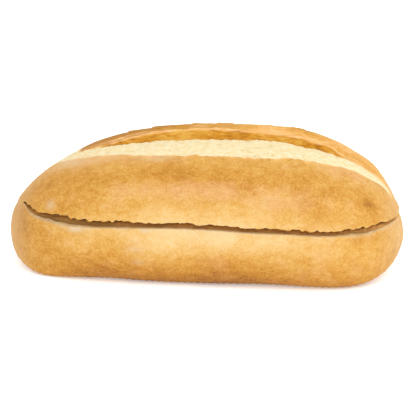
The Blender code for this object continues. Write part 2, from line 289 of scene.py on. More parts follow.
closed = 1 - np.exp((bevel_y - y) / SLIT_CLOSES)
band("lower_cut", y, mix(bevel_z, root_z - ROOT_HALF_GAP * slit, closed))
band("root", root_y, root_z)
y = mix(root_y, high_y, eased(ROWS["cut"], end=CUT_EASE)[:, :-1])
closed = 1 - np.exp((high_y - y) / SLIT_CLOSES)
band("upper_cut", y, mix(high_z, root_z + ROOT_HALF_GAP * slit, closed))
band("upper_rim", high_y - RIM_OVERHANG * slit * OVERHANG_ROWS, high_z)

# Front crust, from the ragged upper rim to the lip of the score
LIP_Y = -19.4 * MM
LIP_SWELLS = ((-20 * MM, -1.1 * MM, 12 * MM), (8 * MM, 0.3 * MM, 9 * MM), (38 * MM, 1.3 * MM, 8 * MM),
              (62 * MM, 2.0 * MM, 13 * MM))
LEAST_LIP_SHARE = 0.02
LIP_TEAR = 0.5 * MM
LIP_TEARS = Ripple(4 * MM, 31, 2)
LEAST_UPPER_SIDE = 0.3
SIDE_EASE = 1.15
OVERHANG_FADE = 5 * MM
lip_y = LIP_Y * score + drift + swelling(x, LIP_SWELLS) * dropped
lip_y = lip_y + LIP_TEAR * score * ripple(LIP_TEARS, x)
lip_y = np.minimum(lip_y, -LEAST_LIP_SHARE * front)
lip_angle = angle_at_width(front, lip_y, FRONT_ROUNDNESS)
lip_angle = np.maximum(lip_angle, mix(high_angle, math.pi / 2, LEAST_UPPER_SIDE))
y, z = front_arc(mix(high_angle, lip_angle, eased(ROWS["upper_side"], SIDE_EASE, SIDE_EASE)))
y = y - RIM_OVERHANG * slit * np.exp(-(z - high_z) / OVERHANG_FADE)
band("upper_side", y, z)
lip_y, lip_z = y[:, -1:], z[:, -1:]

# Pale torn band up to its ragged crest
CREST_Y = -1.0 * MM
CREST_RISE = -1.4 * MM
CREST_SWELLS = ((-25 * MM, 0.55 * MM, 12 * MM), (25 * MM, 0.8 * MM, 15 * MM))
CLOSED_CREST_LEFT = 0.64
CLOSED_CREST_RIGHT = 0.27
CREST_TEAR = 0.25 * MM
CREST_TEARS = Ripple(7 * MM, 5)
CREST_FRAY = 0.25 * MM
CREST_FRAYS = Ripple(1.8 * MM, 43, 2)
CREST_WANDER = 0.35 * MM
CREST_WANDERS = Ripple(4 * MM, 41, 3)
LEAST_BAND = 0.3 * MM
LEAST_BAND_SHARE = 0.1
BAND_EASE = 1.3
BAND_BULGE = 0.9 * MM
BAND_TEAR = 0.4 * MM
BAND_TEARS = Ripple(7 * MM, 7)
LIP_STEP = 0.5 * MM
LIP_STEP_STEEPNESS = 14
crest_y = CREST_Y * score + drift + CREST_WANDER * score_depth * ripple(CREST_WANDERS, x)
crest_y = np.maximum(crest_y, lip_y + np.minimum(LEAST_BAND, LEAST_BAND_SHARE * front))
closed_rise = np.where(left, CLOSED_CREST_LEFT, CLOSED_CREST_RIGHT)
closed_z = mix(lip_z, belly + back_height, closed_rise)
open_z = belly + front_height + CREST_RISE + swelling(x, CREST_SWELLS)
crest_z = mix(closed_z, open_z, parted)
crest_z = crest_z + CREST_TEAR * score_depth * ripple(CREST_TEARS, x)
crest_z = crest_z + CREST_FRAY * score_depth * ripple(CREST_FRAYS, x)
across = eased(ROWS["cream"], BAND_EASE, BAND_EASE)
y = mix(lip_y, crest_y, across)
arch = np.sin(math.pi * across)
bulge = BAND_BULGE * arch - LIP_STEP * np.exp(-across * LIP_STEP_STEEPNESS)
torn = BAND_TEAR * arch * ripple(BAND_TEARS, x, y)
band("cream", y, mix(lip_z, crest_z, across) + score_depth * (bulge + torn))

# Groove behind the crest, and the wall of the ear up to its edge
GROOVE_Y = 1.2 * MM
GROOVE_DEPTH = 2.2 * MM
GROOVE_CURVE = 0.8
CLOSED_GROOVE_SHARE = 0.2
LEAST_GROOVE = 0.5 * MM
LEAST_GROOVE_SHARE = 0.15
RIDGE_Y = 7.4 * MM
LEAST_RIDGE_SHARE = 0.01
WALL_CURVE = 0.9
EAR_STEP = 0.2 * MM
EAR_ROLL = 1.8 * MM
EAR_SWELLS = ((28 * MM, 1.35 * MM, 13 * MM),)
POCKET = ((49.5 * MM, 0.35, 4.5 * MM),)
least_ridge = np.minimum(LEAST_GROOVE, LEAST_GROOVE_SHARE * front)
raised = np.clip(parted + swelling(x, POCKET), 0, 1)
ridge_y = mix(crest_y + least_ridge, RIDGE_Y * score + drift, raised)
ridge_y = np.maximum(ridge_y, LEAST_RIDGE_SHARE * back)
ridge_angle = angle_at_width(back, ridge_y, BACK_ROUNDNESS)
plain_ridge_z = back_arc(ridge_angle)[1]
open_ridge_z = plain_ridge_z - EAR_ROLL * score_depth - swelling(x, EAR_SWELLS)
ridge_z = mix(crest_z + EAR_STEP * score_depth, open_ridge_z, raised)
groove_y = mix(mix(crest_y, ridge_y, CLOSED_GROOVE_SHARE), GROOVE_Y * score + drift, parted)
groove_z = mix(mix(crest_z, ridge_z, CLOSED_GROOVE_SHARE), crest_z - GROOVE_DEPTH, parted)
down = spaced(ROWS["groove"])
band("groove", mix(crest_y, groove_y, down), mix(crest_z, groove_z, down ** GROOVE_CURVE))
up = spaced(ROWS["wall"])
band("wall", mix(groove_y, ridge_y, up), mix(groove_z, ridge_z, up ** WALL_CURVE))

# Crown and uncut back, down to the middle of the base. Behind the ear the crust lies in low
# plates: where each one ends, which way it rises from there (1 is to the right), height, length
BACK_EASE = 1.4
EAR_WIDTH = 5 * MM
RIGHT_EAR_WIDTH = 9 * MM
BACK_STEP = 0.25 * MM
BACK_STEPS = Ripple(6 * MM, 53, 2)
BACK_STEP_WIDTH = 7 * MM
PLATES = ((-33.9 * MM, 1, 0.5 * MM, 6 * MM), (-24 * MM, 1, 0.55 * MM, 8 * MM),
          (-7.7 * MM, 1, 0.45 * MM, 7 * MM), (2.4 * MM, 1, 0.55 * MM, 6 * MM),
          (9 * MM, -1, 0.45 * MM, 6 * MM), (25 * MM, -1, 0.3 * MM, 7 * MM),
          (38.5 * MM, -1, 0.55 * MM, 8 * MM))
PLATE_EDGE = 0.5 * MM
PLATE_WIDTH = 16 * MM
PLATE_BEHIND = 0.6 * PLATE_WIDTH
y, z = back_arc(ridge_angle * (1 - eased(ROWS["back"], start=BACK_EASE)))
ear_width = mix(np.where(left, EAR_WIDTH, RIGHT_EAR_WIDTH), EAR_WIDTH, parted)
z = z - (plain_ridge_z - ridge_z) * np.exp(-((y - ridge_y) / ear_width) ** 2)
steps = -BACK_STEP * score_depth * np.abs(ripple(BACK_STEPS, x))
z = z + steps * np.exp(-((y - ridge_y) / BACK_STEP_WIDTH) ** 2)
plates = 0 * y
for plate_end, way, high, long in PLATES:
    past = (x - plate_end) * way
    plates = plates + high * smooth(-PLATE_EDGE, PLATE_EDGE, past) * np.exp(-np.abs(past) / long)
band("back", y, z + plates * np.exp(-((y - ridge_y - PLATE_BEHIND) / PLATE_WIDTH) ** 2))
turn = (1 - spaced(ROWS["back_underside"])) * math.pi / 2
rounding_y = base_back + (back - base_back) * np.sin(turn)
band("back_underside", rounding_y, belly - (belly - floor_level) * np.cos(turn))
band("back_base", base_back * (1 - spaced(ROWS["back_base"]))[:, :-1], floor_level)

# The skin: every section joined to the next, and a point at each tip
Y = np.concatenate([np.broadcast_to(y, (len(x), y.shape[1])) for name, y, z in bands], axis=1)
Z = np.concatenate([np.broadcast_to(z, (len(x), y.shape[1])) for name, y, z in bands], axis=1)
row_name = np.concatenate([[name] * y.shape[1] for name, y, z in bands])
row_share = np.concatenate([np.linspace(0, 1, y.shape[1] + 1)[1:] for name, y, z in bands])
X = np.broadcast_to(x, Y.shape)
stations, rows = Y.shape
tips = np.array([[-HALF, 0, LEFT.belly], [HALF, 0, RIGHT.belly]])
verts = np.concatenate([np.stack([X, Y, Z], axis=-1).reshape(-1, 3), tips])
row = np.arange(rows)
after = (row + 1) % rows
quads = np.stack([row, row + rows, after + rows, after], axis=-1)
quads = quads + (np.arange(stations - 1) * rows)[:, None, None]
last = (stations - 1) * rows
left_cap = np.stack([after, row, np.full(rows, stations * rows)], axis=-1)
right_cap = np.stack([last + row, last + after, np.full(rows, stations * rows + 1)], axis=-1)
mesh = bpy.data.meshes.new("baked_roll")
mesh.from_pydata(verts.tolist(), [], quads.reshape(-1, 4).tolist() + left_cap.tolist() + right_cap.tolist())
mesh.update()
roll = bpy.data.objects.new("baked_roll", mesh)
bpy.context.scene.collection.objects.link(roll)

# Where each kind of surface lies: shares from 0 to 1 for every point of the skin. First, how open
# the score, the groove and the slit are where their surfaces begin and where they are whole
SCORED_LEFT = (0, 0.1)
SCORED_RIGHT = (0.06, 0.2)
GROOVED = (0.02, 0.4)
CUT_OPEN = (0, 0.15)
PALE_GROOVE = 0.3
is_row = {name: np.broadcast_to(row_name == name, Y.shape) for name in set(row_name)}
along = np.broadcast_to(row_share, Y.shape)
scored = np.where(left, smooth(*SCORED_LEFT, score), smooth(*SCORED_RIGHT, score))
scored = np.broadcast_to(scored, Y.shape)
grooved = np.broadcast_to(smooth(*GROOVED, parted), Y.shape)
cut_here = np.broadcast_to(smooth(*CUT_OPEN, slit), Y.shape)
groove_top = is_row["groove"] & (along < PALE_GROOVE)

# Pale dough of the band, which ends over the top at the left in a rounded lobe
LOBE_AT = (-58.5 * MM, 4.5 * MM)
LOBE_TURN = math.radians(130)
LOBE_LONG = 7.6 * MM
LOBE_WIDE = 5.6 * MM
LOBE_EDGE = 0.12
LOBE_FRONT_EDGE = 0.6 * MM
LOBE_RAGS = Ripple(5 * MM, 73, 3, high=0.10)
cream = np.where(is_row["cream"] | groove_top, scored, 0)
lobe_along = (X - LOBE_AT[0]) * math.cos(LOBE_TURN) + (Y - LOBE_AT[1]) * math.sin(LOBE_TURN)
lobe_aside = (X - LOBE_AT[0]) * math.sin(LOBE_TURN) - (Y - LOBE_AT[1]) * math.cos(LOBE_TURN)
out_of_lobe = np.hypot(lobe_along / LOBE_LONG, lobe_aside / LOBE_WIDE) + ripple(LOBE_RAGS, X, Y)
over_top = 1 - smooth(1 - LOBE_EDGE, 1 + LOBE_EDGE, out_of_lobe)
in_front = smooth(-LOBE_FRONT_EDGE, LOBE_FRONT_EDGE, ridge_y - Y) * scored
over_top = np.maximum(over_top, in_front * (x < LOBE_AT[0] + LOBE_LONG))
cream = np.where(is_row["wall"] | is_row["groove"] | is_row["back"], np.maximum(cream, over_top), cream)

# Amber wall of the ear, and the light strands drawn out along its edge and behind it. The strands
# are partly pale crust and partly a painted highlight, which also runs along the lip of the score
# Darker and paler patches of the wall: place along, how much darker, length. The one at 45 mm is a painted
# shadow under the overhanging ridge beside the pocket
WALL_TONES_AND_SHADOW = ((-36 * MM, 0.15, 6 * MM), (-10 * MM, -0.35, 7 * MM), (11 * MM, 0.12, 5 * MM),
               (30 * MM, -0.2, 7 * MM), (45 * MM, 0.4, 1.8 * MM), (51.5 * MM, -0.1, 2.6 * MM))
STRAND_FRONT = 0.35 * MM
STRAND_FRONT_PARTED = 0.2 * MM
STRAND_BACK = 1.0 * MM
STRAND_WANDER = Ripple(6 * MM, 61, 2, high=0.5 * MM)
STRAND_BREAKS = Ripple(7 * MM, 63, 2, even=0.75, high=0.35)
STRAND_STARTS = (-54 * MM, -38 * MM)
STRAND_START_SHARE = 0.3
SECOND_BEHIND = 2.6 * MM
SECOND_WIDTH = 0.75 * MM
SECOND_WANDER = Ripple(9 * MM, 65, high=0.7 * MM)
SECOND_BREAKS = Ripple(8 * MM, 67, even=0.2, high=0.7)
SECOND_STRAND = ((-37 * MM, 0.5, 7 * MM), (40 * MM, 0.5, 9 * MM))
LIP_LIGHT_WIDTH = 0.7 * MM
LIP_LIGHT_BREAKS = Ripple(6 * MM, 69, 2, even=0.35, high=0.8)
# A thin painted shadow at the foot of the crest: where it starts across the band, and how it breaks
CREST_STARTS = 0.965
CREST_BREAKS = Ripple(3 * MM, 71, 2, even=0.4, high=0.9)
amber = np.where((is_row["groove"] & ~groove_top) | is_row["wall"], scored * grooved, 0)
wall_dark_and_shadow = swelling(X, WALL_TONES_AND_SHADOW)
strand_y = ridge_y + ripple(STRAND_WANDER, x)
off_strand = (Y - strand_y) / np.where(Y < strand_y, STRAND_FRONT + STRAND_FRONT_PARTED * parted, STRAND_BACK)
strand = np.exp(-off_strand ** 2) * ripple(STRAND_BREAKS, x)
strand = strand * mix(STRAND_START_SHARE, 1, smooth(*STRAND_STARTS, x))
off_second = (Y - strand_y - SECOND_BEHIND - ripple(SECOND_WANDER, x)) / SECOND_WIDTH
second = np.clip(ripple(SECOND_BREAKS, x) + swelling(x, SECOND_STRAND), 0, 1) * np.exp(-off_second ** 2)
pale_strands_and_highlight = np.where(is_row["wall"] | is_row["back"], np.maximum(strand, second) * scored, 0)
pale_lip_and_highlight = np.exp(-(lip_y - Y) / LIP_LIGHT_WIDTH) * scored * np.clip(ripple(LIP_LIGHT_BREAKS, x), 0, 1)
pale_strands_and_highlight = np.where(is_row["upper_side"], pale_lip_and_highlight, pale_strands_and_highlight)
# Painted shadow along the foot of the crest
crest_painted_shadow = np.where(is_row["cream"], smooth(CREST_STARTS, 1, along), np.where(groove_top, 1, 0))
crest_painted_shadow = crest_painted_shadow * scored * grooved * np.clip(ripple(CREST_BREAKS, x), 0, 1)

# Crumb of the cut, from its rim to the depth where little light comes, and the shares of the rows
# where flakes stand: along the crest and the lip, on the slit's upper rim, a few on the band
END_FADE = 12 * MM
END_CRUMB = 0.25
RIM_MIDDLE = 0.5
SLIT_SEEN_DEPTH = 7 * MM
SEEN_OPEN = (0, 0.8)
LEAST_UPPER_DEPTH = 0.36
# Painted shade in the slit near its mouth, where it stands wider open: place along the loaf, how dark, length
PAINTED_SLIT_SHADE = ((-57 * MM, 0.40, 6 * MM), (-44 * MM, 0.45, 20 * MM), (-13 * MM, 0.14, 9 * MM),
               (66 * MM, 0.34, 9 * MM))
PAINTED_SLIT_SHADE_ENDS = (0.3, 0.9)
CREST_FLAKES = 0.4
RIM_FLAKES = 0.3
LIP_FLAKES = 0.08
RIM_FLAKE_SHARE = 0.4
BAND_FLAKE_SHARE = 0.03
from_ends = smooth(0, END_FADE, x - SLIT_LEFT) * smooth(0, END_FADE, SLIT_RIGHT - x)
crumb = np.where(is_row["lower_cut"] | is_row["root"] | is_row["upper_cut"], cut_here, 0)
crumb = np.where(is_row["upper_rim"] & (along < RIM_MIDDLE), cut_here, crumb) * mix(END_CRUMB, 1, from_ends)
bevel_zone = np.where(is_row["bevel"], cut_here, 0)
cut_depth = np.clip((Y - low_y) / SLIT_SEEN_DEPTH, 0, 1) * smooth(*SEEN_OPEN, slit)
painted_slit_shade = swelling(x, PAINTED_SLIT_SHADE) * (1 - smooth(*PAINTED_SLIT_SHADE_ENDS, cut_depth))
in_upper_half = is_row["upper_cut"] | is_row["upper_rim"]
cut_depth = np.where(in_upper_half, np.maximum(cut_depth, LEAST_UPPER_DEPTH), cut_depth)
crest_bits = np.where(is_row["groove"] & (along < CREST_FLAKES), scored, 0)
rim_bits = np.where(is_row["upper_rim"] & (along > RIM_FLAKES), cut_here, 0)
lip_bits = np.where(is_row["cream"] & (along < LIP_FLAKES), scored, 0)
flaky = np.clip(crest_bits + RIM_FLAKE_SHARE * rim_bits + lip_bits + BAND_FLAKE_SHARE * cream, 0, 1)

# How deeply each place is baked, from 0, pale, to 1, brown. A place on the side has a level:
# -1 at the bottom edge, 0 at the slit and 1 at the lip. Patches: place along the loaf, level,
# how far each reaches along and up, and how much deeper the bake is there
BAKE = 0.50
BAKE_PATCHES = (
    (0 * MM, 0.74, 58 * MM, 0.17, 0.16),
    (2 * MM, 0.06, 42 * MM, 0.30, -0.20),
    (8 * MM, -0.12, 50 * MM, 0.26, -0.30),
    # This patch makes the crust darker towards its bottom edge
    (0 * MM, -0.98, 57 * MM, 0.36, 0.38),
    (-39 * MM, -0.70, 16 * MM, 0.22, 0.12),
    (17 * MM, -0.70, 12 * MM, 0.22, 0.05),
    (-51 * MM, 1.0, 12 * MM, 0.06, -0.24),
    (-62 * MM, 0.45, 18 * MM, 0.50, 0.12),
    (-66 * MM, -0.35, 20 * MM, 0.50, 0.12),
    (60 * MM, 0.42, 16 * MM, 0.36, 0.07),
    (66.6 * MM, 0.66, 2.3 * MM, 0.09, 0.28),
    (69.0 * MM, 0.60, 1.6 * MM, 0.07, 0.12),
    (45 * MM, 0.10, 1.6 * MM, 0.06, 0.22),
    (68 * MM, -0.08, 7 * MM, 0.16, 0.16),
    (-70.5 * MM, -0.2, 4.5 * MM, 0.22, 0.16),
)
LEAST_SIDE = 1 * MM
side_height = np.maximum(np.where(Z < low, low - floor_level, lip_z - low), LEAST_SIDE)
side_level = np.clip((Z - low) / side_height, -1, 1)


def patched(patches, level):
    """What patches add up to at every point of the skin"""
    return sum(strong * np.exp(-((X - at) / long) ** 2 - ((level - up) / high) ** 2)
               for at, up, long, high, strong in patches)


bake = BAKE + patched(BAKE_PATCHES, side_level)

# Bake of the back: in bands (height as a share of the top, how much deeper, reach), and in patches
# whose level is how far they lie behind the ear. Past the score's ends it comes in gradually
BACK_BAKE_LEFT = 0.94
BACK_BAKE_RIGHT = 0.42
BACK_BAKE_STRETCH = (-50 * MM, 60 * MM)
BACK_BAKE_RISE = (0.45, 0.85)
BACK_BAKE_BANDS = ((0.36, -0.16, 0.2), (0.0, 0.3, 0.12))
BACK_PATCHES = ((36 * MM, 9 * MM, 4 * MM, 5 * MM, 0.24), (24 * MM, 5 * MM, 9 * MM, 6 * MM, -0.25),
                (-36 * MM, 5 * MM, 19 * MM, 7 * MM, 0.24), (61 * MM, 3.2 * MM, 8 * MM, 2.4 * MM, 0.26))
TIP_TURN = 18 * MM
BASE_BAKE = 0.84
BASE_EDGE_BAKE = 0.6
BASE_EDGE = 5 * MM
rise = Z / BACK_TOP
back_bake = mix(BACK_BAKE_LEFT, BACK_BAKE_RIGHT, smooth(*BACK_BAKE_STRETCH, x))
back_bake = mix(BAKE, back_bake, smooth(*BACK_BAKE_RISE, rise)) + swelling(rise, BACK_BAKE_BANDS)
back_bake = back_bake + patched(BACK_PATCHES, Y - ridge_y)
round_tip = np.maximum(scored, smooth(0, TIP_TURN, Y))
bake = np.where(is_row["back"] | is_row["back_underside"], mix(bake, back_bake, round_tip), bake)
base_bake = mix(BASE_BAKE, BASE_EDGE_BAKE, smooth(0, BASE_EDGE, Z))
bake = np.where(is_row["base"] | is_row["back_base"], base_bake, bake)

# Rosy patches of the crust, and pale marks where flour or a bubble kept it light: place along,
# level, how far each reaches along and up, and how strong it is. A pale fringe runs under the slit
ROSY_PATCHES = ((-46 * MM, 1.0, 20 * MM, 0.09, 1.4), (-4 * MM, 0.58, 26 * MM, 0.13, 1.2),
                (36 * MM, 0.48, 15 * MM, 0.13, 0.8), (-6 * MM, 0.80, 55 * MM, 0.10, -0.6),
                (58 * MM, 0.97, 12 * MM, 0.10, 0.7), (68 * MM, 0.68, 3 * MM, 0.14, -1.5),
                (-72 * MM, -0.3, 9 * MM, 0.7, -0.6))
PALE_MARKS = ((-58 * MM, 0.36, 1.8 * MM, 0.09, 0.9), (-46.5 * MM, -0.02, 3.6 * MM, 0.06, 1.5),
              (-18.3 * MM, -0.03, 1.4 * MM, 0.03, 1.2),
              (-22 * MM, -0.34, 3.4 * MM, 0.04, 0.65), (-21 * MM, -0.56, 2.8 * MM, 0.05, 0.65),
              (-53 * MM, 0.98, 6 * MM, 0.06, 0.6), (-16 * MM, 0.98, 8 * MM, 0.05, 0.6))
BACK_ROSY_LEFT = -0.7
BACK_ROSY_RIGHT = 0.5
BACK_ROSY_STRETCH = (-20 * MM, 66 * MM)
FRINGE = 0.7 * MM
FRINGE_PALE = 0.8
FRINGE_STARTS = (-68 * MM, -50 * MM)
FRINGE_BREAKS = Ripple(5 * MM, 75, 2, even=0.6, high=0.7)
# The tips are paler: partly flour, partly a painted rim light where they round away
PALE_LEFT = 0.36
PALE_LEFT_STRETCH = (-62 * MM, -77 * MM)
PALE_RIGHT = 0.32
PALE_RIGHT_STRETCH = (70 * MM, 80 * MM)
BEHIND_REACH = 17 * MM
on_side = is_row["upper_side"] | is_row["lower_side"] | is_row["underside"]
back_rosy = mix(BACK_ROSY_LEFT, BACK_ROSY_RIGHT, smooth(*BACK_ROSY_STRETCH, x)) * round_tip
rosy = np.where(is_row["back"], back_rosy, np.where(on_side, patched(ROSY_PATCHES, side_level), 0))
fringe = np.exp(-(low_z - Z) / FRINGE) * cut_here * np.clip(ripple(FRINGE_BREAKS, x), 0, 1)
fringe = fringe * smooth(*FRINGE_STARTS, x)
pale = np.where(on_side, patched(PALE_MARKS, side_level), 0)
pale = pale + np.where(is_row["lower_side"], FRINGE_PALE * fringe, 0)
pale = pale + PALE_LEFT * smooth(*PALE_LEFT_STRETCH, x) + PALE_RIGHT * smooth(*PALE_RIGHT_STRETCH, x)
behind = np.where(is_row["back"], round_tip * np.exp(-((Y - ridge_y) / BEHIND_REACH) ** 2), 0)

# One chip of crust was left lying on the band, just in front of the crest
CHIP_AT = 17.1 * MM
CHIP_LONG = 3.2 * MM
CHIP_BEFORE_CREST = 1.2 * MM
CHIP_WIDE = 0.9 * MM
CHIP_SHARE = 0.75
CHIP_BAKE = 0.2
chip = np.exp(-((X - CHIP_AT) / CHIP_LONG) ** 2 - ((Y - crest_y + CHIP_BEFORE_CREST) / CHIP_WIDE) ** 2)
cream = np.where(is_row["cream"], cream * (1 - CHIP_SHARE * chip), cream)
bake = np.where(is_row["cream"], mix(bake, CHIP_BAKE, chip), bake)
paint = dict(cream=cream, amber=amber, pale_strands_and_highlight=pale_strands_and_highlight, crumb=crumb, bevel=bevel_zone, bake=bake,
             rosy=rosy, pale=pale, flaky=flaky, depth=cut_depth, crest_painted_shadow=crest_painted_shadow, wall_dark_and_shadow=wall_dark_and_shadow,
             painted_slit_shade=painted_slit_shade, behind=behind)
for name, values in paint.items():
    layer = mesh.attributes.new(name, "FLOAT", "POINT")
    end_values = [values[0].mean(), values[-1].mean()]
    layer.data.foreach_set("value", np.concatenate([values.reshape(-1), end_values]).astype(np.float32))

# At both ends of the slit the upper half stands a little past the lower one
TIP_LEVEL_LEFT = 25.2 * MM
TIP_LEVEL_RIGHT = 23.6 * MM
TIP_STEP_LEFT = 0.25 * MM
TIP_STEP_RIGHT = 0.6 * MM
TIP_STEP_HEIGHT = 2.6 * MM
TIP_STEP_EDGE = 0.25 * TIP_STEP_HEIGHT
TIP_STEP_REACH = 8 * MM
above_slit = verts[:, 2] - np.where(verts[:, 0] < 0, TIP_LEVEL_LEFT, TIP_LEVEL_RIGHT)
near_tip = np.exp(-((HALF - np.abs(verts[:, 0])) / TIP_STEP_REACH) ** 2)
beyond = np.tanh(above_slit / TIP_STEP_EDGE) * np.exp(-(above_slit / TIP_STEP_HEIGHT) ** 2)
verts[:, 0] += np.where(verts[:, 0] < 0, -TIP_STEP_LEFT, TIP_STEP_RIGHT) * near_tip * beyond
mesh.vertices.foreach_set("co", verts.astype(np.float32).reshape(-1))

# Rows that run together past the slit's ends are merged, so that the skin stays closed
MERGE = 0.0008 * MM
work = bmesh.new()
work.from_mesh(mesh)
bmesh.ops.remove_doubles(work, verts=work.verts, dist=MERGE)
bmesh.ops.dissolve_degenerate(work, edges=work.edges, dist=MERGE)
bmesh.ops.recalc_face_normals(work, faces=work.faces)
work.to_mesh(mesh)
work.free()
mesh.update()

# Colours from 0 to 255, as they look in the light on their side of the roll: red, green, blue,
# and the strength of that light, which is divided out. The stops of a run of colours go from its
# lowest value to its highest
SIDE_LIGHT = 1.70
TOP_LIGHT = 1.52
CROWN_LIGHT = 1.45
EDGE_LIGHT = 1.3


def rgb(red, green, blue, light=SIDE_LIGHT):
    """A surface's own linear colour, from the colour that it has in this light"""
    linear = [((c / 255 + 0.055) / 1.055) ** 2.4 / light for c in (red, green, blue)]
    return (*linear, 1.0)


CRUST = ((0.0, rgb(255, 222, 160)), (0.25, rgb(252, 204, 126)), (0.48, rgb(240, 182, 90)),
         (0.66, rgb(224, 158, 62)), (0.85, rgb(200, 134, 44)), (1.0, rgb(166, 102, 36)))
ROSY = ((0.1, rgb(255, 216, 160)), (0.5, rgb(248, 191, 126)), (0.95, rgb(228, 156, 88)))
CROWN = ((0.1, rgb(253, 208, 150, CROWN_LIGHT)), (0.4, rgb(238, 176, 90, CROWN_LIGHT)),
         (0.7, rgb(210, 149, 34, CROWN_LIGHT)), (1.0, rgb(188, 124, 16, CROWN_LIGHT)))
FLOUR_AND_RIM_LIGHT = rgb(240, 214, 176)
TORN = ((0.15, rgb(238, 206, 144, TOP_LIGHT)), (0.42, rgb(252, 229, 176, TOP_LIGHT)),
        (0.8, rgb(255, 244, 206, TOP_LIGHT)))
TEAR_SHADOW = rgb(220, 202, 152, TOP_LIGHT)
WALL = ((0.1, rgb(188, 116, 10)), (0.45, rgb(224, 150, 30)), (0.9, rgb(246, 186, 76)))
# Pale crust of the strands, partly a painted highlight
PALE_EDGE_AND_HIGHLIGHT = rgb(255, 202, 138, EDGE_LIGHT)
CREST_PAINTED_SHADOW = rgb(150, 122, 50)
BEVEL = ((0.3, rgb(210, 168, 118)), (0.7, rgb(233, 198, 146)))

# Colours inside the slit, where the light comes off the crumb itself: by the depth behind the rim.
# They hold painted shade and light: dark brown near the mouth, though the crumb is pale, and
# brighter deeper in to make up for the little light that reaches there
CRUMB_AND_PAINTED_SHADE = ((0.0, (0.32, 0.175, 0.07, 1.0)), (0.2, (0.345, 0.172, 0.048, 1.0)),
         (0.55, (0.88, 0.53, 0.17, 1.0)), (1.0, (0.90, 0.62, 0.26, 1.0)))
# Colour of the painted shade in the slit
PAINTED_SLIT_SHADED = (0.10, 0.045, 0.012, 1.0)

# Noise in the paint: how strong it is and round which value, how large its spots are, how much
# finer noise they carry and how rough that is, and how many times longer than wide they are
Spots = namedtuple("Spots", "strong middle size detail rough drawn", defaults=[1.0])
SPECKLES = Spots(0.64, 0.0, 0.75 * MM, 2.0, 0.6)
CRUST_SPOTS = Spots(0.42, 0.0, 2.0 * MM, 2.0, 0.55, drawn=1.6)
BLOTCHES = Spots(0.44, 0.0, 7 * MM, 3.0, 0.55, drawn=1.5)
WIDE_BLOTCHES = Spots(0.20, 0.0, 24 * MM, 2.0, 0.5)
ROSY_SPOTS = Spots(2.4, 0.0, 7 * MM, 3.0, 0.5)
CROWN_GRAIN = Spots(0.8, 0.0, 1.1 * MM, 3.0, 0.6, drawn=7.0)
TORN_STREAKS = Spots(1.7, 0.5, 1.0 * MM, 3.0, 0.62, drawn=2.6)
TEAR_SHADOWS = Spots(6.0, -0.75, 1.5 * MM, 2.0, 0.5, drawn=1.8)
WALL_STRANDS = Spots(1.8, 0.5, 1.6 * MM, 3.0, 0.6, drawn=2.4)
EDGE_STRANDS = Spots(2.6, 0.9, 1.1 * MM, 2.0, 0.5, drawn=5.0)
CRUMB_SPOTS = Spots(0.16, 0.0, 1.4 * MM, 3.0, 0.6)
BEVEL_SPOTS = Spots(1.4, 0.5, 1.6 * MM, 2.0, 0.5)
PORES = Spots(0.5, 0.0, 0.7 * MM, 4.0, 0.6)
OPEN_CRUMB = Spots(1.2, 0.0, 1.3 * MM, 3.0, 0.6)
ROSY_SHARE = 0.7
FLOUR_AND_RIM_LIGHT_SHARE = 0.55
CREST_SHARE = 0.8
PALE_ROUGHNESS = 0.80
BAKED_GLOSS = 0.25
DULL_ROUGHNESS = 0.35
SPECULAR = 0.15
SHEEN = 0.02
SHEEN_ROUGHNESS = 0.4
SHEEN_TINT = (1.0, 0.93, 0.86, 1.0)
PORE_STRENGTH = 0.7
PORE_DEPTH = 0.35 * MM


def plug(tree, value, socket):
    """Sets a socket to a number, a vector or a colour, or links another node's output to it"""
    if isinstance(value, bpy.types.NodeSocket):
        tree.links.new(value, socket)
    else:
        socket.default_value = value


def maths(tree, operation, a, b=0.0, clamp=False):
    node = tree.nodes.new("ShaderNodeMath")
    node.operation = operation
    node.use_clamp = clamp
    plug(tree, a, node.inputs[0])
    plug(tree, b, node.inputs[1])
    return node.outputs["Value"]


def cloud(tree, place, size, detail, rough, drawn=1.0):
    """Noise around nought, whose spots are about one size across and drawn out along the loaf"""
    stretching = tree.nodes.new("ShaderNodeVectorMath")
    stretching.operation = "DIVIDE"
    tree.links.new(place, stretching.inputs[0])
    stretching.inputs[1].default_value = (drawn, 1.0, 1.0)
    node = tree.nodes.new("ShaderNodeTexNoise")
    plug(tree, maths(tree, "DIVIDE", 1.0, size), node.inputs["Scale"])
    node.inputs["Detail"].default_value = detail
    node.inputs["Roughness"].default_value = rough
    tree.links.new(stretching.outputs["Vector"], node.inputs["Vector"])
    return maths(tree, "SUBTRACT", node.outputs["Fac"], 0.5)


